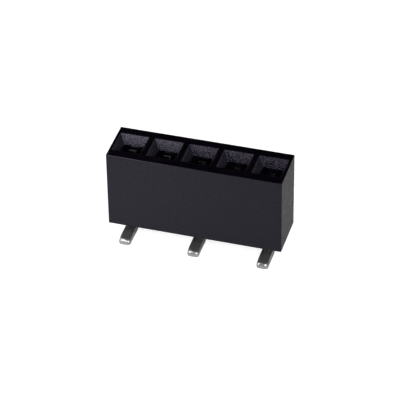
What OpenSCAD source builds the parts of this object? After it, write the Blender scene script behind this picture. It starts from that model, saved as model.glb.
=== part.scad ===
// Female pin header strip: a single row of spring sockets for 0.64 mm square pins, surface mount.
// The moulded housing holds one formed contact per position, and the solder tails leave it
// to alternate sides. X runs along the row, the front faces -Y, and the board plane is Z = 0.

/* [Row] */
// Number of contacts in the row
positions = 5; // [2:1:20]
// Distance from one contact to the next
pitch = 2.54; // [2.4:0.01:4]
// Distance from the last contact's centre to the end of the housing
end_margin = 1.27; // [1.17:0.01:3]

/* [Housing] */
// Width of the housing, front to back
housing_w = 3.5; // [2.9:0.1:6]
// Height of the housing
housing_h = 6; // [5.2:0.1:12]
// Height of the housing's underside above the board
standoff = 1.4; // [1.1:0.05:3]

/* [Pin entry] */
// Length of the lead-in at the top face, along the row
mouth_l = 2.14; // [1.6:0.02:2.3]
// Width of the lead-in at the top face, front to back
mouth_w = 2.1; // [1.6:0.02:2.6]
// Depth of the sloped lead-in
mouth_depth = 0.7; // [0.2:0.05:0.8]
// Side of the square hole below the lead-in
hole_side = 1.36; // [1.2:0.02:1.44]
// Depth of the square hole below the lead-in
hole_depth = 0.7; // [0.4:0.05:1]

/* [Spring leaves] */
// Thickness of each leaf
leaf_t = 0.2; // [0.12:0.01:0.22]
// Width of a leaf at its tip
leaf_tip_w = 0.56; // [0.5:0.02:0.86]
// Width of a leaf at its root
leaf_root_w = 0.9; // [0.7:0.02:1.2]
// Distance from the contact's middle to a leaf's middle where it bows out
leaf_bow = 0.62; // [0.5:0.01:0.8]
// Gap between the leaves where they grip the pin
grip_gap = 0.46; // [0.3:0.02:0.6]
// Gap between the leaves at their tips
tip_gap = 0.66; // [0.62:0.02:0.8]
// Depth of the grip below the top face
grip_depth = 1.6; // [1.3:0.05:2]
// Depth of the leaf tips below the top face
tip_depth = 0.9; // [0.8:0.02:1.1]

/* [Contact base] */
// Height of the plate that holds the contact in its slot
plate_h = 1.3; // [1:0.05:1.5]
// Depth of the slot in the housing's underside
slot_depth = 1.6; // [1.55:0.05:2]
// How far the slot is cut into each side wall of the cavity
shoulder = 0.18; // [0.12:0.01:0.22]
// How far a barb stands out of the plate's edge
barb = 0.05; // [0.03:0.01:0.1]

/* [Solder tail] */
// Width of the tail
tail_w = 0.86; // [0.5:0.02:1]
// Thickness of the tail
tail_t = 0.46; // [0.44:0.01:0.6]
// Radius of the tail's long edges
tail_edge_r = 0.15; // [0.05:0.01:0.2]
// Inner radius of the bend under the housing
bend_r = 0.3; // [0.15:0.01:0.45]
// How far the tail reaches past the housing's side
toe = 0.51; // [0.3:0.01:2]
// Radius of the tip's corners, seen from above
tip_corner_r = 0.2; // [0.1:0.01:0.24]
// Radius that rolls the tip's upper edge over
tip_roll_r = 0.26; // [0.1:0.01:0.32]

/* [Clearances] */
// Room around the plate's thickness in its slot, on each side
slot_gap = 0.02; // [0.01:0.01:0.05]
// Room for a leaf to spring outwards behind its bow
spring_room = 0.23; // [0.15:0.01:0.4]
// Room beside a leaf's root, along the row
leaf_side_room = 0.3; // [0.2:0.01:0.35]

/* [Hidden] */
$fn = 48;
over = 0.2;        // how far a cutter runs past the face that it opens
arc_steps = 6;     // straight steps in each rounded corner of a leaf

housing_l = (positions - 1) * pitch + 2 * end_margin;
top_z = standoff + housing_h;
mouth_floor_z = top_z - mouth_depth;
cavity_top_z = mouth_floor_z - hole_depth;
slot_top_z = standoff + slot_depth;
cavity_l = leaf_root_w + 2 * leaf_side_room;
cavity_w = 2 * leaf_bow + leaf_t + 2 * spring_room;
slot_l = cavity_l + 2 * shoulder;
slot_w = tail_t + 2 * slot_gap;

plate_top_z = slot_top_z;              // the plate's shoulders stop against the slot's end
plate_bottom_z = plate_top_z - plate_h;
plate_l = slot_l - 2 * barb;
barbs = 2;
barb_step = plate_h / (barbs + 1);     // from one barb to the next
barb_land = 0.08;                      // flat at a barb's tip, which bears on the slot's wall
barb_rise = 0.3;                       // length of a barb's slope

leaf_root = (tail_t - leaf_t) / 2;     // middle of a leaf where it leaves the plate
leaf_grip = (grip_gap + leaf_t) / 2;
leaf_tip = (tip_gap + leaf_t) / 2;
leaf_tip_z = top_z - tip_depth;
root_rise = 0.25;                      // height above the plate at which a leaf turns outwards
bow_rise = 0.95;                       // height above the plate at which it turns back in
leaf_line = [
    [leaf_root, plate_top_z],
    [leaf_root, plate_top_z + root_rise],
    [leaf_bow, plate_top_z + bow_rise],
    [leaf_grip, top_z - grip_depth],
    [leaf_tip, leaf_tip_z],
];
leaf_radii = [0.25, 0.35, 0.6];        // at the three bends of that line

bend_top_z = tail_t + bend_r;          // centre height of the bend, where the post begins
bend_y = tail_t / 2 + bend_r;          // distance from the contact's middle to that centre
tail_end_y = housing_w / 2 + toe;
tip_heel_r = 0.06;                     // radius of the tip's lower edge

// Place of a contact along the row
function contact_x(i) = (i - (positions + 1) / 2) * pitch;

// Direction from one point to the next, and the same turned a quarter turn to the left
function heading(p, q) = (q - p) / norm(q - p);
function left(v) = [-v[1], v[0]];
function turned(v, a) = [v[0] * cos(a) - v[1] * sin(a), v[0] * sin(a) + v[1] * cos(a)];

// The corner at b as pairs of a point and its left normal, along an arc of radius r
function corner(a, b, c, r) =
    let (
        u = heading(a, b),
        v = heading(b, c),
        turn = atan2(cross(u, v), u * v),
        side = sign(turn),
        centre = b - u * r * tan(abs(turn) / 2) + left(u) * r * side
    )
    [for (k = [0:arc_steps]) let (n = turned(left(u), turn * k / arc_steps)) [centre - n * r * side, n]];

// A line of points with its inner corners rounded, as the same kind of pairs
function rounded(line, radii) =
    let (last = len(line) - 1)
    concat(
        [[line[0], left(heading(line[0], line[1]))]],
        [for (i = [1:last - 1]) each corner(line[i - 1], line[i], line[i + 1], radii[i - 1])],
        [[line[last], left(heading(line[last - 1], line[last]))]]
    );

// Outline of a strip of thickness t that is formed along such pairs
function strip(pairs, t) =
    concat(
        [for (p = pairs) p[0] + p[1] * t / 2],
        [for (i = [len(pairs) - 1:-1:0]) pairs[i][0] - pairs[i][1] * t / 2]
    );

// Outline of a funnel's section, from a narrow floor up to a wide mouth and on past the face
function funnel(floor_w, mouth) = [
    [-floor_w / 2, mouth_floor_z],
    [floor_w / 2, mouth_floor_z],
    [mouth / 2, top_z],
    [mouth / 2, top_z + over],
    [-mouth / 2, top_z + over],
    [-mouth / 2, top_z],
];

// The right-hand edge of the retention plate from the bottom up, with its barbs
function plate_edge() = [
    [plate_l / 2, plate_bottom_z],
    for (k = [0:barbs - 1]) let (z = plate_bottom_z + (k + 0.5) * barb_step) each [
        [plate_l / 2, z],
        [slot_l / 2, z],
        [slot_l / 2, z + barb_land],
        [plate_l / 2, z + barb_rise],
    ],
    [plate_l / 2, plate_top_z],
];

// Stands a shape drawn in X and Z upright, with depth d centred on Y = 0
module front_view(d) {
    rotate([90, 0, 0])
        translate([0, 0, -d / 2])
            linear_extrude(d)
                children();
}

// Stands a shape drawn in Y and Z upright, with depth d centred on X = 0
module side_view(d) {
    rotate([90, 0, 90])
        translate([0, 0, -d / 2])
            linear_extrude(d)
                children();
}

// A block from z0 to z1, centred on the contact's place
module column(l, w, z0, z1) {
    translate([-l / 2, -w / 2, z0])
        cube([l, w, z1 - z0]);
}

// All that is cut out of the housing for one contact
module cavity() {
    intersection() {
        front_view(mouth_w + over) polygon(funnel(hole_side, mouth_l));
        side_view(mouth_l + over) polygon(funnel(hole_side, mouth_w));
    }
    column(hole_side, hole_side, cavity_top_z - over, mouth_floor_z + over);
    column(cavity_l, cavity_w, standoff - over, cavity_top_z);
    column(slot_l, slot_w, standoff - over, slot_top_z);
}

module housing() {
    color("#2e2c33")
        difference() {
            column(housing_l, housing_w, standoff, top_z);
            for (i = [1:positions])
                translate([contact_x(i), 0, 0])
                    cavity();
        }
}

// Cross-section of the tail: a bar with rounded long edges
module bar_section(w, t) {
    square([w, t - 2 * tail_edge_r], center = true);
    square([w - 2 * tail_edge_r, t], center = true);
    for (x = [-1, 1], y = [-1, 1])
        translate([x * (w / 2 - tail_edge_r), y * (t / 2 - tail_edge_r)])
            circle(tail_edge_r);
}

// A rectangle from the origin to [w, h] whose corners far from the origin have radii r_low and r_high
module nose(w, h, r_low, r_high) {
    difference() {
        square([w, h]);
        translate([w - r_low, -over]) square([r_low + over, r_low + over]);
        translate([w - r_high, h - r_high]) square([r_high + over, r_high + over]);
    }
    translate([w - r_low, r_low]) circle(r_low);
    translate([w - r_high, h - r_high]) circle(r_high);
}

// The straight part of the tail, with its rounded tip
module tail_bar() {
    length = tail_end_y - bend_y;
    intersection() {
        translate([0, -bend_y, tail_t / 2])
            rotate([90, 0, 0])
                linear_extrude(length)
                    bar_section(tail_w, tail_t);
        translate([-tail_w / 2, -bend_y, 0])
            rotate([0, 0, -90])
                linear_extrude(tail_t)
                    nose(length, tail_w, tip_corner_r, tip_corner_r);
        translate([0, -bend_y, 0])
            mirror([0, 1, 0])
                side_view(tail_w)
                    nose(length, tail_t, tip_heel_r, tip_roll_r);
    }
}

module tail_bend() {
    translate([0, -bend_y, bend_top_z])
        rotate([-90, 0, 90])
            rotate_extrude(angle = 90)
                translate([bend_y, 0])
                    bar_section(tail_t, tail_w);
}

module post() {
    translate([0, 0, bend_top_z])
        linear_extrude(plate_bottom_z - bend_top_z)
            bar_section(tail_w, tail_t);
}

module plate() {
    edge = plate_edge();
    front_view(tail_t)
        polygon(concat(edge, [for (k = [len(edge) - 1:-1:0]) [-edge[k][0], edge[k][1]]]));
}

// Both leaves, tapered in width from root to tip
module leaves() {
    intersection() {
        union() {
            outline = strip(rounded(leaf_line, leaf_radii), leaf_t);
            side_view(leaf_root_w) polygon(outline);
            mirror([0, 1, 0]) side_view(leaf_root_w) polygon(outline);
        }
        front_view(cavity_w)
            polygon([
                [-leaf_root_w / 2, plate_top_z],
                [leaf_root_w / 2, plate_top_z],
                [leaf_tip_w / 2, leaf_tip_z],
                [leaf_tip_w / 2, leaf_tip_z + over],
                [-leaf_tip_w / 2, leaf_tip_z + over],
                [-leaf_tip_w / 2, leaf_tip_z],
            ]);
    }
}

// One contact, with its tail to the front
module contact() {
    color("#b9b7b2") {
        tail_bar();
        tail_bend();
        post();
        plate();
        leaves();
    }
}

housing();
for (i = [1:positions])
    translate([contact_x(i), 0, 0])
            rotate([0, 0, i % 2 == 1 ? 0 : 180])
                contact();
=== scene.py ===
"""Dresses the female pin header strip: a moulded housing with five sockets, and its plated contacts."""

import math

import bmesh
import bpy
from bpy.props import FloatProperty, FloatVectorProperty, PointerProperty
from bpy.types import Operator, Panel, PropertyGroup
from mathutils import Euler, Matrix, Vector


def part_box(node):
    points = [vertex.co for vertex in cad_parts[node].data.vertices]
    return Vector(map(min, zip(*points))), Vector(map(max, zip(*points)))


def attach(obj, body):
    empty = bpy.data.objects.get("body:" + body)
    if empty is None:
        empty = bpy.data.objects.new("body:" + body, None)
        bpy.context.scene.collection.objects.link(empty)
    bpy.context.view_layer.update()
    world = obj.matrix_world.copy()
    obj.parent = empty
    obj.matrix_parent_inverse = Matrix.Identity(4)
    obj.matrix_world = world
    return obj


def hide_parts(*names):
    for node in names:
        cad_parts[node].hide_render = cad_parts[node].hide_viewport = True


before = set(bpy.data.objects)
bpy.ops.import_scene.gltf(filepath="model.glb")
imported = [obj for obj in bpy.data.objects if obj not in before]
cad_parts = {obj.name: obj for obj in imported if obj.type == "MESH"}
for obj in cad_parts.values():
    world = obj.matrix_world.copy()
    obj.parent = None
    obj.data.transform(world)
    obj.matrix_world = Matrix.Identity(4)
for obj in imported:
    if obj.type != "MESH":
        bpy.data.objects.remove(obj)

bl_info = {
    "name": "Socket Strip",
    "version": (1, 0, 0),
    "blender": (4, 5, 0),
    "location": "3D View > Sidebar > Socket Strip",
    "description": "Builds a surface-mount socket strip for square pins, with its studio stage",
    "category": "Add Mesh",
}

MM = 0.001                      # sizes are kept in metres, and meshes are worked in millimetres
CONTACT_NODES = sorted(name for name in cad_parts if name.startswith("contact_"))
HOUSING_LOW, HOUSING_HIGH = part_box("housing")
CONTACT_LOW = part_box(CONTACT_NODES[0])[0]
LENGTH = {"unit": "LENGTH", "precision": 5}


def middle_x(node):
    """Place of a CAD node along the row."""
    low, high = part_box(node)
    return (low.x + high.x) / 2


PITCH = (middle_x(CONTACT_NODES[-1]) - middle_x(CONTACT_NODES[0])) / (len(CONTACT_NODES) - 1)


class HousingSettings(PropertyGroup):
    """Sizes and colours of the moulding."""

    mouth_length: FloatProperty(name="Mouth length", description="Lead-in at the top face, along the row",
                                default=2.14 * MM, **LENGTH)
    mouth_width: FloatProperty(name="Mouth width", description="Lead-in at the top face, front to back",
                               default=2.1 * MM, **LENGTH)
    mouth_depth: FloatProperty(name="Mouth depth", description="Depth of the sloped lead-in",
                               default=0.7 * MM, **LENGTH)
    hole_side: FloatProperty(name="Hole side", description="Side of the square hole below the lead-in",
                             default=1.36 * MM, **LENGTH)
    hole_depth: FloatProperty(name="Hole depth", description="Depth of the square hole below the lead-in",
                              default=0.7 * MM, **LENGTH)
    cavity_length: FloatProperty(name="Cavity length",
                                 description="Cavity round the spring leaves, along the row",
                                 default=1.5 * MM, **LENGTH)
    cavity_width: FloatProperty(name="Cavity width",
                                description="Cavity round the spring leaves, front to back",
                                default=1.9 * MM, **LENGTH)
    slot_length: FloatProperty(name="Slot length",
                               description="Slot for the contact's plate, along the row",
                               default=1.86 * MM, **LENGTH)
    slot_width: FloatProperty(name="Slot width", description="Slot for the contact's plate, front to back",
                              default=0.5 * MM, **LENGTH)
    slot_depth: FloatProperty(name="Slot depth", description="Depth of the slot above the underside",
                              default=1.6 * MM, **LENGTH)
    edge_radius: FloatProperty(name="Edge radius", description="Rounding of every moulded edge",
                               default=0.03 * MM, **LENGTH)
    colour: FloatVectorProperty(name="Plastic",
                                description="Colour of the moulded plastic", subtype="COLOR",
                                default=(0.0001, 0.0001, 0.0012))
    mottle_colour: FloatVectorProperty(name="Mottling",
                                       description="Colour of the plastic's paler flow marks",
                                       subtype="COLOR", default=(0.0024, 0.0010, 0.0038))
    # Painted glints: the grain's bright spots are a paler base colour that stands in for the glints of light
    # on the rough slopes.
    painted_glint_colour: FloatVectorProperty(name="Sparkle",
                                        description="Colour of the bright spots in the grain",
                                        subtype="COLOR", default=(0.050, 0.041, 0.062))
    sheen: FloatVectorProperty(name="Sheen", description="Tint of what the plastic reflects",
                               default=(1.0, 0.95, 1.22))


class ContactSettings(PropertyGroup):
    """Sizes and colours of one contact."""

    tail_width: FloatProperty(name="Tail width", description="Width of the solder tail",
                              default=0.86 * MM, **LENGTH)
    tail_thickness: FloatProperty(name="Tail thickness", description="Thickness of the tail and the plate",
                                  default=0.46 * MM, **LENGTH)
    tail_edge: FloatProperty(name="Tail edge radius", description="Rounding of the tail's long edges",
                             default=0.1 * MM, **LENGTH)
    bend_radius: FloatProperty(name="Bend radius", description="Inner radius of the bend under the housing",
                               default=0.3 * MM, **LENGTH)
    tip_corner: FloatProperty(name="Tip corner radius",
                              description="Radius of the tip's corners, seen from above",
                              default=0.2 * MM, **LENGTH)
    tip_roll: FloatProperty(name="Tip roll radius",
                            description="Radius that rolls the tip's upper edge over",
                            default=0.26 * MM, **LENGTH)
    tip_crown: FloatProperty(name="Tip crown",
                             description="How much rounder the tip's corners get as they rise", default=2.0)
    tip_heel: FloatProperty(name="Tip heel radius", description="Radius of the tip's lower edge",
                            default=0.06 * MM, **LENGTH)
    plate_height: FloatProperty(name="Plate height",
                                description="Height of the plate held in the housing's slot",
                                default=1.3 * MM, **LENGTH)
    barb: FloatProperty(name="Barb", description="How far a barb stands out of the plate's edge",
                        default=0.05 * MM, **LENGTH)
    leaf_thickness: FloatProperty(name="Leaf thickness", description="Thickness of a spring leaf",
                                  default=0.2 * MM, **LENGTH)
    leaf_root_width: FloatProperty(name="Leaf root width",
                                   description="Width of a leaf where it leaves the plate",
                                   default=0.9 * MM, **LENGTH)
    leaf_tip_width: FloatProperty(name="Leaf tip width", description="Width of a leaf at its tip",
                                  default=0.56 * MM, **LENGTH)
    leaf_bow: FloatProperty(name="Leaf bow", description="How far a leaf's middle bows out",
                            default=0.62 * MM, **LENGTH)
    grip_gap: FloatProperty(name="Grip gap", description="Gap between the leaves where they grip a pin",
                            default=0.46 * MM, **LENGTH)
    tip_gap: FloatProperty(name="Tip gap", description="Gap between the leaves at their tips",
                           default=0.66 * MM, **LENGTH)
    grip_depth: FloatProperty(name="Grip depth", description="Depth of the grip below the housing's top",
                              default=1.6 * MM, **LENGTH)
    leaf_depth: FloatProperty(name="Leaf depth",
                              description="Depth of the leaves' tips below the housing's top",
                              default=0.9 * MM, **LENGTH)
    colour: FloatVectorProperty(name="Plating", description="Colour of the tin plating", subtype="COLOR",
                                default=(0.70, 0.70, 0.70))
    dull: FloatProperty(name="Dull patches", description="Brightness of the plating where it is dull",
                        subtype="FACTOR", default=0.82)


class StageSettings(PropertyGroup):
    """Floor, light and camera."""

    floor_colour: FloatVectorProperty(name="Floor", description="Colour of the floor", subtype="COLOR",
                                      default=(0.66, 0.66, 0.66))
    floor_seen: FloatProperty(name="Floor glow", description="Glow that the camera sees on the lit floor",
                              subtype="FACTOR", default=0.85)
    floor_reach: FloatProperty(name="Floor reach", description="How far the floor reaches to each side",
                               default=2.0, unit="LENGTH")
    key_level: FloatProperty(name="Key level",
                             description="Brightness of the front-left softbox", default=2.8)
    fill_level: FloatProperty(name="Fill level",
                              description="Brightness of the front-right softbox", default=5.2)
    left_level: FloatProperty(name="Left level", description="Brightness of the large softbox at the left",
                              default=1.05)
    rim_level: FloatProperty(name="Rim level",
                             description="Brightness of the back-right softbox", default=0.9)
    top_level: FloatProperty(name="Top level",
                             description="Brightness of the matt light overhead", default=0.2)
    horizon_level: FloatProperty(name="Horizon level",
                                 description="Brightness of the surroundings at eye level", default=0.3)
    zenith_level: FloatProperty(name="Zenith level", description="Brightness of the surroundings overhead",
                                default=0.002)
    lens: FloatProperty(name="Lens",
                        description="Focal length of the camera, in millimetres", default=208.75)
    camera_place: FloatVectorProperty(name="Camera place", description="Where the camera stands",
                                      subtype="TRANSLATION", precision=5,
                                      default=(37.603 * MM, -124.516 * MM, 103.321 * MM))
    camera_turn: FloatVectorProperty(name="Camera turn",
                                     description="How the camera is turned", subtype="EULER",
                                     default=(math.radians(52.474), math.radians(0.686),
                                              math.radians(16.302)))


class Signal:
    """A node's output that adds Math nodes when it is used in an expression."""

    def __init__(self, graph, socket):
        self.graph = graph
        self.socket = socket

    def math(self, operation, *values):
        """A Math node on these values."""
        return self.graph.add("ShaderNodeMath", dict(enumerate(values)), operation=operation)

    def __add__(self, other):
        return self.math("ADD", self, other)

    def __sub__(self, other):
        return self.math("SUBTRACT", self, other)

    def __rsub__(self, other):
        return self.math("SUBTRACT", other, self)

    def __mul__(self, other):
        return self.math("MULTIPLY", self, other)

    __radd__ = __add__
    __rmul__ = __mul__


class Graph:
    """A node tree under construction."""

    def __init__(self, tree):
        self.tree = tree

    def add(self, kind, sockets=None, output=0, **settings):
        """Adds a node with these settings, fills its sockets by name or number, and returns one output."""
        node = self.tree.nodes.new(kind)
        for name, value in settings.items():
            setattr(node, name, value)
        for name, value in (sockets or {}).items():
            if isinstance(value, Signal):
                self.tree.links.new(value.socket, node.inputs[name])
            else:
                node.inputs[name].default_value = value
        return Signal(self, node.outputs[output]) if len(node.outputs) else None

    def ramp(self, factor, *stops):
        """A colour ramp on factor, from stops of a position and a grey level."""
        node = self.tree.nodes.new("ShaderNodeValToRGB")
        elements = node.color_ramp.elements
        while len(elements) < len(stops):
            elements.new(1.0)
        for element, (position, level) in zip(elements, stops):
            element.position = position
            element.color = (level, level, level, 1.0)
        self.tree.links.new(factor.socket, node.inputs["Fac"])
        return Signal(self, node.outputs["Color"])

    def noise(self, scale, detail, roughness, vector=None):
        """Noise on the object's own coordinates or on another vector, with scale in waves per metre."""
        vector = vector or self.add("ShaderNodeTexCoord", output="Object")
        return self.add("ShaderNodeTexNoise", {"Vector": vector, "Scale": scale, "Detail": detail,
                                               "Roughness": roughness})

    def along(self, axis, vector):
        """One coordinate of a vector."""
        return self.add("ShaderNodeSeparateXYZ", {"Vector": vector}, axis)

    def blend(self, factor, first, second):
        """A mix of two colours. Its sockets go by number, because their names repeat."""
        return self.add("ShaderNodeMix", {"Factor": factor, 6: first, 7: second}, output=2, data_type="RGBA")


def new_material(name):
    """An empty material and its graph."""
    material = bpy.data.materials.new(name)
    material.use_nodes = True
    material.node_tree.nodes.clear()
    return material, Graph(material.node_tree)


def surface(graph, sockets):
    """Ends a material in a Principled BSDF with these sockets."""
    shader = graph.add("ShaderNodeBsdfPrincipled", sockets)
    graph.add("ShaderNodeOutputMaterial", {"Surface": shader})


def bumped(graph, height, distance, normal=None):
    """A normal bent by this height, on top of the normal that is given."""
    sockets = {"Height": height, "Distance": distance, "Strength": 1.0}
    if normal:
        sockets["Normal"] = normal
    return graph.add("ShaderNodeBump", sockets)


def smooth_plastic(settings):
    """Black moulded plastic with a fine matt texture and faint flow marks."""
    material, graph = new_material("moulded_plastic")
    flow = graph.noise(380.0, 3.0, 0.6)
    mottle = graph.noise(2600.0, 2.0, 0.5)
    grain = graph.noise(16000.0, 2.0, 0.6)
    marks = graph.ramp(flow * 0.5 + mottle * 0.5, (0.38, 0.0), (0.64, 1.0))
    colour = graph.blend(marks, (*settings.colour, 1.0), (*settings.mottle_colour, 1.0))
    waves = bumped(graph, flow, 0.007 * MM)
    normal = bumped(graph, grain, 0.006 * MM, normal=waves)
    surface(graph, {"Base Color": colour, "Roughness": 0.23 + mottle * 0.12, "Normal": normal,
                    "Specular Tint": (*settings.sheen, 1.0)})
    return material


def grained_plastic(settings):
    """The same plastic with coarse grain, for the slopes that face the front and the back. Its bright spots
    are painted glints: a paler base colour that stands in for highlights.
    """
    material, graph = new_material("spark_eroded_plastic")
    grain = graph.noise(13000.0, 1.0, 0.6)
    clumps = graph.noise(5200.0, 2.0, 0.6)
    # Painted glints: spots of the grain where the base colour turns paler, as painted highlights.
    painted_glint_spots = graph.ramp(grain * 0.7 + clumps * 0.3, (0.42, 0.0), (0.68, 1.0))
    colour = graph.blend(painted_glint_spots, (*settings.colour, 1.0), (*settings.painted_glint_colour, 1.0))
    normal = bumped(graph, grain + clumps * 0.5, 0.035 * MM)
    surface(graph, {"Base Color": colour, "Roughness": 0.12 + clumps * 0.12, "Normal": normal,
                    "Specular Tint": (*settings.sheen, 1.0)})
    return material


def tin_plating(settings):
    """Tin over a stamped strip with faint drawn lines, duller on the tails than on the leaves."""
    material, graph = new_material("tin_plating")
    coordinates = graph.add("ShaderNodeTexCoord", output="Object")
    stretched = graph.add("ShaderNodeMapping", {"Vector": coordinates, "Scale": (1.0, 0.12, 0.12)})
    drawn = graph.noise(22000.0, 3.0, 0.6, stretched)
    bloom = graph.noise(4200.0, 3.0, 0.55)
    tails_end, leaves_begin = 1.7 * MM, 3.0 * MM
    matt = graph.add("ShaderNodeMapRange", {"Value": graph.along("Z", coordinates), "From Min": tails_end,
                                            "From Max": leaves_begin, "To Min": 1.0, "To Max": 0.0})
    dull = tuple(settings.dull * channel for channel in settings.colour)
    colour = graph.blend(bloom, (*dull, 1.0), (*settings.colour, 1.0))
    normal = bumped(graph, drawn * 0.6 + bloom * 0.4, 0.003 * MM)
    surface(graph, {"Base Color": colour, "Metallic": 1.0 - matt * 0.06,
                    "Roughness": 0.14 + bloom * 0.06 + matt * 0.14, "Normal": normal})
    return material


def row_tree():
    """Geometry Nodes tree that repeats a mesh along X, turning every second copy."""
    tree = bpy.data.node_groups.new("row_along_x", "GeometryNodeTree")
    face = tree.interface
    face.new_socket("Geometry", in_out="OUTPUT", socket_type="NodeSocketGeometry")
    face.new_socket("Geometry", in_out="INPUT", socket_type="NodeSocketGeometry")
    for name, kind in (("Count", "Int"), ("Pitch", "Float"), ("Turn", "Float"), ("Weld", "Float"),
                       ("Material", "Material"), ("Accent", "Material")):
        face.new_socket(name, in_out="INPUT", socket_type="NodeSocket" + kind)
    graph = Graph(tree)
    entry = tree.nodes.new("NodeGroupInput")
    given = {socket.name: Signal(graph, socket) for socket in entry.outputs if socket.name}
    start = (given["Count"] - 1) * given["Pitch"] * -0.5
    line = graph.add("GeometryNodeMeshLine", {
        "Count": given["Count"],
        "Start Location": graph.add("ShaderNodeCombineXYZ", {"X": start}),
        "Offset": graph.add("ShaderNodeCombineXYZ", {"X": given["Pitch"]}),
    }, mode="OFFSET")
    index = graph.add("GeometryNodeInputIndex")
    odd = index.math("MODULO", index, 2.0)
    placed = graph.add("GeometryNodeInstanceOnPoints", {
        "Points": line,
        "Instance": given["Geometry"],
        "Rotation": graph.add("ShaderNodeCombineXYZ", {"Z": odd * given["Turn"]}),
    })
    real = graph.add("GeometryNodeRealizeInstances", {"Geometry": placed})
    welded = graph.add("GeometryNodeMergeByDistance", {"Geometry": real, "Distance": given["Weld"]})
    plain = graph.add("GeometryNodeSetMaterial", {"Geometry": welded, "Material": given["Material"]})
    accent = graph.add("GeometryNodeInputNamedAttribute", {"Name": "accent"}, data_type="BOOLEAN")
    both = graph.add("GeometryNodeSetMaterial", {"Geometry": plain, "Selection": accent,
                                                 "Material": given["Accent"]})
    leave = tree.nodes.new("NodeGroupOutput")
    tree.links.new(both.socket, leave.inputs["Geometry"])
    return tree


def new_object(name, data):
    """An object in the scene that holds this mesh, lamp or camera."""
    thing = bpy.data.objects.new(name, data)
    bpy.context.scene.collection.objects.link(thing)
    return thing


def bake(thing):
    """Replaces an object's mesh by what its modifiers make of it, and removes them."""
    bpy.context.view_layer.update()
    graph = bpy.context.evaluated_depsgraph_get()
    mesh = bpy.data.meshes.new_from_object(thing.evaluated_get(graph), preserve_all_data_layers=True,
                                           depsgraph=graph)
    mesh.name = thing.name
    thing.modifiers.clear()
    thing.data = mesh


def in_a_row(thing, tree, turn, weld, material, accent):
    """Repeats an object's mesh at every contact's place, and turns every second one by an angle."""
    modifier = thing.modifiers.new("row", "NODES")
    modifier.node_group = tree
    values = {"Count": len(CONTACT_NODES), "Pitch": PITCH / MM, "Turn": turn, "Weld": weld,
              "Material": material, "Accent": accent}
    for item in tree.interface.items_tree:
        if item.in_out == "INPUT" and item.name in values:
            modifier[item.identifier] = values[item.name]
    bake(thing)


def in_metres(thing):
    """Scales a mesh that was worked in millimetres."""
    thing.data.transform(Matrix.Scale(MM, 4))


def smooth(thing, angle):
    """Shades the mesh smooth, with its flats kept flat."""
    thing.data.shade_smooth()
    thing.data.set_sharp_from_angle(angle=angle)
    weighted = thing.modifiers.new("weighted", "WEIGHTED_NORMAL")
    weighted.keep_sharp = True
    bake(thing)


def ring(mesh, points):
    """New vertices at these points."""
    return [mesh.verts.new(point) for point in points]


def bridge(mesh, first, second):
    """Quads between two closed loops of as many vertices."""
    for i in range(len(first)):
        j = (i + 1) % len(first)
        mesh.faces.new((first[i], first[j], second[j], second[i]))


def finished(mesh, name):
    """Turns a closed bmesh into an object with its faces pointing outwards."""
    bmesh.ops.recalc_face_normals(mesh, faces=mesh.faces)
    data = bpy.data.meshes.new(name)
    mesh.to_mesh(data)
    mesh.free()
    return new_object(name, data)


class Cell:
    """One pitch of the housing as faces that share their corners."""

    def __init__(self):
        self.mesh = bmesh.new()
        self.corners = {}
        self.accent = self.mesh.faces.layers.bool.new("accent")

    def corner(self, point):
        """The vertex at a point, made once."""
        key = tuple(round(value, 6) for value in point)
        if key not in self.corners:
            self.corners[key] = self.mesh.verts.new(point)
        return self.corners[key]

    def face(self, points, accent=False):
        """A face on these points, with the second finish where accent is set."""
        made = self.mesh.faces.new([self.corner(point) for point in points])
        made[self.accent] = accent

    def mirrored(self, points):
        """A face and its copy on the other side of X = 0."""
        self.face(points)
        self.face([(-x, y, z) for x, y, z in reversed(points)])

    def walls(self, low, high, accent=False):
        """Four faces between two rectangles, each given as half length, half width and height.

        With accent, the two faces that look along Y take the second finish."""
        def rectangle(size):
            length, width, z = size
            return [(length, -width, z), (length, width, z), (-length, width, z), (-length, -width, z)]
        below, above = rectangle(low), rectangle(high)
        for i in range(4):
            j = (i + 1) % 4
            self.face([below[i], below[j], above[j], above[i]], accent and i % 2 == 1)


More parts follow.
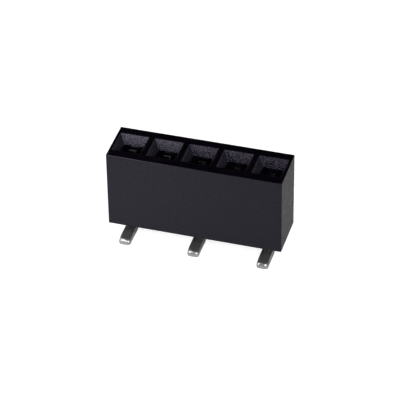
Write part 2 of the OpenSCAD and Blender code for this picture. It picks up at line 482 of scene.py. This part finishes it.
def housing_cell(s):
    """One pitch of the housing: its two outer faces, top land, lead-in, hole, cavity, slot and underside.

    The points at X = 0 are where the two halves of the underside meet."""
    half = PITCH / MM / 2
    width = HOUSING_HIGH.y / MM
    floor, top = HOUSING_LOW.z / MM, HOUSING_HIGH.z / MM
    mouth_l, mouth_w = s.mouth_length / MM / 2, s.mouth_width / MM / 2
    hole = s.hole_side / MM / 2
    cavity_l, cavity_w = s.cavity_length / MM / 2, s.cavity_width / MM / 2
    slot_l, slot_w = s.slot_length / MM / 2, s.slot_width / MM / 2
    mouth_floor = top - s.mouth_depth / MM
    ceiling = mouth_floor - s.hole_depth / MM
    slot_top = floor + s.slot_depth / MM
    cell = Cell()
    cell.walls((half, width, top), (mouth_l, mouth_w, top))
    cell.walls((mouth_l, mouth_w, top), (hole, hole, mouth_floor), accent=True)
    cell.walls((hole, hole, mouth_floor), (hole, hole, ceiling))
    cell.walls((hole, hole, ceiling), (cavity_l, cavity_w, ceiling))
    for side in (-1, 1):
        outer, inner, cheek = side * width, side * cavity_w, side * slot_w
        cell.face([(-half, outer, floor), (0, outer, floor), (half, outer, floor),
                   (half, outer, top), (-half, outer, top)])
        cell.face([(-cavity_l, inner, floor), (0, inner, floor), (cavity_l, inner, floor),
                   (cavity_l, inner, ceiling), (-cavity_l, inner, ceiling)])
        cell.mirrored([(cavity_l, inner, floor), (cavity_l, cheek, floor), (cavity_l, cheek, slot_top),
                       (cavity_l, inner, slot_top)])
        cell.mirrored([(cavity_l, cheek, floor), (slot_l, cheek, floor), (slot_l, cheek, slot_top),
                       (cavity_l, cheek, slot_top)])
    cell.mirrored([(cavity_l, -cavity_w, slot_top), (cavity_l, -slot_w, slot_top),
                   (cavity_l, slot_w, slot_top), (cavity_l, cavity_w, slot_top),
                   (cavity_l, cavity_w, ceiling), (cavity_l, -cavity_w, ceiling)])
    cell.mirrored([(slot_l, -slot_w, floor), (slot_l, slot_w, floor), (slot_l, slot_w, slot_top),
                   (slot_l, -slot_w, slot_top)])
    cell.mirrored([(cavity_l, -slot_w, slot_top), (slot_l, -slot_w, slot_top), (slot_l, slot_w, slot_top),
                   (cavity_l, slot_w, slot_top)])
    cell.mirrored([(half, -width, floor), (half, width, floor), (0, width, floor), (0, cavity_w, floor),
                   (cavity_l, cavity_w, floor), (cavity_l, slot_w, floor), (slot_l, slot_w, floor),
                   (slot_l, -slot_w, floor), (cavity_l, -slot_w, floor), (cavity_l, -cavity_w, floor),
                   (0, -cavity_w, floor), (0, -width, floor)])
    return finished(cell.mesh, "housing_moulding")


def close_ends(thing):
    """Closes the two open ends of the row of cells and turns every face outwards."""
    mesh = bmesh.new()
    mesh.from_mesh(thing.data)
    rim = [edge for edge in mesh.edges if edge.is_boundary]
    bmesh.ops.holes_fill(mesh, edges=rim, sides=0)
    bmesh.ops.recalc_face_normals(mesh, faces=mesh.faces)
    mesh.to_mesh(thing.data)
    mesh.free()


def section(half_width, low, high, radius):
    """Points round a rectangle with rounded corners, as pairs of across and up.

    Each corner is divided into steps, and the upper and the lower side into spans. A short flat is
    left on every side, however large the radius is."""
    steps, spans = 6, 10
    radius = min(radius, 0.98 * half_width, 0.49 * (high - low))
    right, left = half_width - radius, radius - half_width
    up, down = high - radius, low + radius
    points = []
    for quarter, (across, rise) in enumerate(((right, up), (left, up), (left, down), (right, down))):
        for step in range(steps + 1):
            angle = math.radians(90 * (quarter + step / steps))
            points.append((across + radius * math.cos(angle), rise + radius * math.sin(angle)))
        if quarter % 2 == 0:
            x, z = points[-1]
            points += [(x * (1 - 2 * i / spans), z) for i in range(1, spans)]
    return points


def rounding(distance, radius):
    """How far a quarter round of this radius has fallen at a distance past where it begins."""
    distance = min(max(distance, 0.0), radius)
    return radius - math.sqrt(radius * radius - distance * distance)


def crowned(across, back, half_width, corner, roll, crown):
    """How far the tip's upper side has fallen at a place across it and back from its end.

    Its level lines are noses whose corner radius grows with their distance from the end. The line
    through the place is found by halving."""
    def nose(inset):
        radius = corner + crown * inset
        return inset + rounding(across - (half_width - radius), radius)
    near, far = 0.0, roll
    halvings = 30
    for _ in range(halvings):
        inset = (near + far) / 2
        if nose(inset) < back:
            near = inset
        else:
            far = inset
    return rounding(roll - near, roll)


def tail_shell(s, reach, post_top):
    """The post, the bend and the tail as one swept bar with a coined tip, towards -Y."""
    width, thick = s.tail_width / MM, s.tail_thickness / MM
    edge, bend = s.tail_edge / MM, s.bend_radius / MM
    corner, roll, heel = s.tip_corner / MM, s.tip_roll / MM, s.tip_heel / MM
    centre = Vector((0.0, -(bend + thick / 2), thick + bend))
    full = section(width / 2, 0.0, thick, edge)
    mesh = bmesh.new()
    rings = []
    for z in (post_top, centre.z):
        rings.append(ring(mesh, [(x, thick / 2 - up, z) for x, up in full]))
    bend_steps = 14
    for step in range(1, bend_steps + 1):
        angle = math.radians(90 * (1 - step / bend_steps))
        inward = Vector((0.0, -math.sin(angle), math.cos(angle)))
        points = [centre - (bend + thick - up) * inward + Vector((x, 0, 0)) for x, up in full]
        rings.append(ring(mesh, points))
    tip_steps = 24
    softening = 0.5             # how fast the section's corners grow rounder as the tip narrows
    tip_length = corner + roll * (1 + s.tip_crown)
    for step in range(tip_steps + 1):
        back = tip_length * (1 - math.sin(math.radians(90 * step / tip_steps)))
        fall = rounding(corner - back, corner)
        low = rounding(heel - back, heel)
        half = width / 2 - fall
        shape = []
        for x, up in section(half, low, thick, edge + softening * fall):
            top = thick - crowned(abs(x), back, width / 2, corner, roll, s.tip_crown)
            shape.append((x, -(reach - back), low + (up - low) * (top - low) / (thick - low)))
        rings.append(ring(mesh, shape))
    for first, second in zip(rings, rings[1:]):
        bridge(mesh, first, second)
    mesh.faces.new(rings[0])
    mesh.faces.new(rings[-1])
    return finished(mesh, "tail")


def plate_shell(s, bottom, top, slot_length):
    """The retention plate with two barbs on each edge."""
    thick, barb = s.tail_thickness / MM, s.barb / MM
    tooth = slot_length / 2
    edge = tooth - barb
    barbs = 2
    land, rise = 0.08, 0.3      # a barb's straight tooth, and where its slope ends above its foot
    step = (top - bottom) / (barbs + 1)
    side = [(edge, bottom)]
    for k in range(barbs):
        z = bottom + (k + 0.5) * step
        side += [(edge, z), (tooth, z), (tooth, z + land), (edge, z + rise)]
    side.append((edge, top))
    outline = side + [(-x, z) for x, z in reversed(side)]
    mesh = bmesh.new()
    front, back = (ring(mesh, [(x, y, z) for x, z in outline]) for y in (-thick / 2, thick / 2))
    bridge(mesh, front, back)
    mesh.faces.new(front)
    mesh.faces.new(back)
    return finished(mesh, "plate")


def rounded_line(points, radii):
    """A line of points with its inner corners rounded, as pairs of a point and its left normal."""
    steps = 8

    def left(v):
        return Vector((-v.y, v.x))
    first, last = (points[1] - points[0]).normalized(), (points[-1] - points[-2]).normalized()
    pairs = [(points[0], left(first))]
    for before, here, after, radius in zip(points, points[1:], points[2:], radii):
        u, v = (here - before).normalized(), (after - here).normalized()
        turn = math.atan2(u.x * v.y - u.y * v.x, u.dot(v))
        side = math.copysign(1.0, turn)
        centre = here - u * radius * math.tan(abs(turn) / 2) + left(u) * radius * side
        for step in range(steps + 1):
            normal = Matrix.Rotation(turn * step / steps, 2) @ left(u)
            pairs.append((centre - normal * radius * side, normal))
    pairs.append((points[-1], left(last)))
    return pairs


def leaf_shell(s, side, bottom, top):
    """One spring leaf, tapered from root to tip, to the front (-1) or the back (1)."""
    thick = s.leaf_thickness / MM
    root = (s.tail_thickness / MM - thick) / 2
    grip, tip = (s.grip_gap / MM + thick) / 2, (s.tip_gap / MM + thick) / 2
    root_rise, bow_rise = 0.25, 0.95
    radii = (0.25, 0.35, 0.6)
    rim_radius, touching = 0.025, 1e-4
    line = [Vector(p) for p in ((root, bottom), (root, bottom + root_rise),
                                (s.leaf_bow / MM, bottom + bow_rise),
                                (grip, HOUSING_HIGH.z / MM - s.grip_depth / MM), (tip, top))]
    wide, narrow = s.leaf_root_width / MM / 2, s.leaf_tip_width / MM / 2
    mesh = bmesh.new()
    rings = []
    for point, normal in rounded_line(line, radii):
        outer, inner = point + normal * thick / 2, point - normal * thick / 2
        half = [wide + (narrow - wide) * (p.y - bottom) / (top - bottom) for p in (outer, inner)]
        rings.append(ring(mesh, [(half[0], side * outer.x, outer.y), (-half[0], side * outer.x, outer.y),
                                 (-half[1], side * inner.x, inner.y), (half[1], side * inner.x, inner.y)]))
    for first, second in zip(rings, rings[1:]):
        bridge(mesh, first, second)
    mesh.faces.new(rings[0])
    mesh.faces.new(rings[-1])
    bmesh.ops.recalc_face_normals(mesh, faces=mesh.faces)
    rims = [edge for edge in mesh.edges if edge.calc_face_angle() > math.radians(60) and
            max(vert.co.z for vert in edge.verts) > bottom + touching]
    bmesh.ops.bevel(mesh, geom=rims, offset=rim_radius, segments=2, affect="EDGES", profile=0.5)
    return finished(mesh, "leaf")


def united(base, *others):
    """Joins touching shells into one closed mesh."""
    for other in others:
        joined = base.modifiers.new("join", "BOOLEAN")
        joined.operation = "UNION"
        joined.solver = "EXACT"
        joined.object = other
    bake(base)
    for other in others:
        bpy.data.objects.remove(other)
    return base


class SOCKETSTRIP_OT_housing(Operator):
    """Moulds the housing: one cell, repeated by Geometry Nodes and closed at both ends"""

    bl_idname = "socket_strip.housing"
    bl_label = "Mould Housing"

    def execute(self, context):
        settings = context.scene.socket_strip_housing
        housing = housing_cell(settings)
        in_a_row(housing, row_tree(), turn=0.0, weld=1e-4, material=smooth_plastic(settings),
                 accent=grained_plastic(settings))
        close_ends(housing)
        bevel = housing.modifiers.new("edges", "BEVEL")
        bevel.width = settings.edge_radius / MM
        bevel.segments = 2
        bevel.limit_method = "ANGLE"
        bevel.angle_limit = math.radians(20)
        bevel.use_clamp_overlap = True
        smooth(housing, angle=math.radians(40))
        in_metres(housing)
        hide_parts("housing")
        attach(housing, "root")
        return {"FINISHED"}


class SOCKETSTRIP_OT_contacts(Operator):
    """Forms one contact from its tail, plate and leaves, and repeats it to alternate sides"""

    bl_idname = "socket_strip.contacts"
    bl_label = "Form Contacts"

    def execute(self, context):
        settings = context.scene.socket_strip_contact
        housing = context.scene.socket_strip_housing
        reach = -CONTACT_LOW.y / MM
        leaf_top = (HOUSING_HIGH.z - settings.leaf_depth) / MM
        plate_top = (HOUSING_LOW.z + housing.slot_depth) / MM
        plate_bottom = plate_top - settings.plate_height / MM
        contact = united(
            tail_shell(settings, reach, plate_bottom),
            plate_shell(settings, plate_bottom, plate_top, housing.slot_length / MM),
            leaf_shell(settings, -1, plate_top, leaf_top),
            leaf_shell(settings, 1, plate_top, leaf_top),
        )
        contact.name = "contact_row"
        plating = tin_plating(settings)
        in_a_row(contact, row_tree(), turn=math.pi, weld=0.0, material=plating, accent=plating)
        smooth(contact, angle=math.radians(35))
        in_metres(contact)
        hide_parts(*CONTACT_NODES)
        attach(contact, "root")
        return {"FINISHED"}


def floor_material(settings):
    """White floor that shows plain white to the camera, and keeps the shadow."""
    material, graph = new_material("white_floor")
    seen = graph.add("ShaderNodeLightPath", output="Is Camera Ray")
    matt = graph.add("ShaderNodeBsdfDiffuse", {"Color": (*settings.floor_colour, 1.0)})
    glow = graph.add("ShaderNodeEmission", {"Color": (1.0, 1.0, 1.0, 1.0),
                                            "Strength": seen * settings.floor_seen})
    both = graph.add("ShaderNodeAddShader", {0: matt, 1: glow})
    graph.add("ShaderNodeOutputMaterial", {"Surface": both})
    return material


def light_world(settings):
    """Surroundings: white to the camera, and to the object bright only low down in front."""
    world = bpy.data.worlds.new("surroundings")
    world.use_nodes = True
    world.node_tree.nodes.clear()
    graph = Graph(world.node_tree)
    direction = graph.add("ShaderNodeTexCoord", output="Generated")
    glow = graph.ramp(graph.along("Z", direction), (0.22, settings.horizon_level),
                      (0.42, settings.zenith_level))
    behind = graph.ramp(graph.along("Y", direction), (0.0, 0.0), (0.5, 0.8))
    level = graph.blend(behind, glow, (0.0, 0.0, 0.0, 1.0))
    camera = graph.add("ShaderNodeLightPath", output="Is Camera Ray")
    seen = graph.blend(camera, level, (1.0, 1.0, 1.0, 1.0))
    sky = graph.add("ShaderNodeBackground", {"Color": seen, "Strength": 1.0})
    graph.add("ShaderNodeOutputWorld", {"Surface": sky})
    bpy.context.scene.world = world


def softbox(name, level, azimuth, elevation, distance, size):
    """A rectangular lamp of this brightness that faces the housing's middle.

    It stands at an azimuth to the right of the front and an elevation above the floor, in degrees."""
    lamp = bpy.data.lights.new(name, "AREA")
    lamp.shape = "RECTANGLE"
    lamp.size, lamp.size_y = size
    lamp.energy = level * math.pi * size[0] * size[1]
    thing = new_object(name, lamp)
    a, e = math.radians(azimuth), math.radians(elevation)
    towards = Vector((math.sin(a) * math.cos(e), -math.cos(a) * math.cos(e), math.sin(e)))
    thing.location = towards * distance + Vector((0.0, 0.0, HOUSING_HIGH.z / 2))
    thing.rotation_euler = towards.to_track_quat("Z", "Y").to_euler()
    thing.visible_camera = False
    return thing


class SOCKETSTRIP_OT_stage(Operator):
    """Sets the white floor, the soft light and the camera"""

    bl_idname = "socket_strip.stage"
    bl_label = "Set Stage"

    def execute(self, context):
        settings = context.scene.socket_strip_stage
        mesh = bmesh.new()
        reach = settings.floor_reach
        corners = [(x * reach, y * reach, 0) for x, y in ((-1, -1), (1, -1), (1, 1), (-1, 1))]
        mesh.faces.new(ring(mesh, corners))
        floor = finished(mesh, "floor")
        floor.data.materials.append(floor_material(settings))
        light_world(settings)
        softbox("key_softbox", settings.key_level, azimuth=-43, elevation=28, distance=16 * MM,
                size=(10.5 * MM, 10 * MM))
        softbox("left_softbox", settings.left_level, azimuth=-80, elevation=45, distance=60 * MM,
                size=(60 * MM, 50 * MM))
        softbox("fill_softbox", settings.fill_level, azimuth=43, elevation=40, distance=60 * MM,
                size=(40 * MM, 32 * MM))
        softbox("rim_softbox", settings.rim_level, azimuth=141, elevation=10, distance=60 * MM,
                size=(30 * MM, 16 * MM))
        overhead = softbox("matt_top_light", settings.top_level, azimuth=0, elevation=89, distance=200 * MM,
                           size=(240 * MM, 240 * MM))
        overhead.visible_glossy = False
        lens = bpy.data.cameras.new("camera")
        lens.lens = settings.lens
        lens.clip_start, lens.clip_end = 0.01, 10.0
        camera = new_object("camera", lens)
        camera.location = settings.camera_place
        camera.rotation_euler = Euler(settings.camera_turn)
        scene = context.scene
        scene.camera = camera
        scene.view_settings.view_transform = "Standard"
        return {"FINISHED"}


class SOCKETSTRIP_PT_panel(Panel):
    """Lists the steps that build the strip and its stage"""

    bl_label = "Socket Strip"
    bl_idname = "SOCKETSTRIP_PT_panel"
    bl_space_type = "VIEW_3D"
    bl_region_type = "UI"
    bl_category = "Socket Strip"

    def draw(self, context):
        for step in STEPS:
            self.layout.operator(step.bl_idname)
        for name in SETTINGS:
            box = self.layout.box()
            group = getattr(context.scene, name)
            for key in group.bl_rna.properties.keys():
                if key not in ("rna_type", "name"):
                    box.prop(group, key)


SETTINGS = {
    "socket_strip_housing": HousingSettings,
    "socket_strip_contact": ContactSettings,
    "socket_strip_stage": StageSettings,
}
STEPS = (SOCKETSTRIP_OT_housing, SOCKETSTRIP_OT_contacts, SOCKETSTRIP_OT_stage)


def register():
    for cls in (*SETTINGS.values(), *STEPS, SOCKETSTRIP_PT_panel):
        bpy.utils.register_class(cls)
    for name, group in SETTINGS.items():
        setattr(bpy.types.Scene, name, PointerProperty(type=group))


def unregister():
    for name in SETTINGS:
        delattr(bpy.types.Scene, name)
    for cls in (SOCKETSTRIP_PT_panel, *STEPS, *SETTINGS.values()):
        bpy.utils.unregister_class(cls)


def main():
    """Builds everything."""
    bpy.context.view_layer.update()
    register()
    bpy.ops.socket_strip.stage()
    bpy.ops.socket_strip.housing()
    bpy.ops.socket_strip.contacts()


if __name__ == "__main__":
    main()
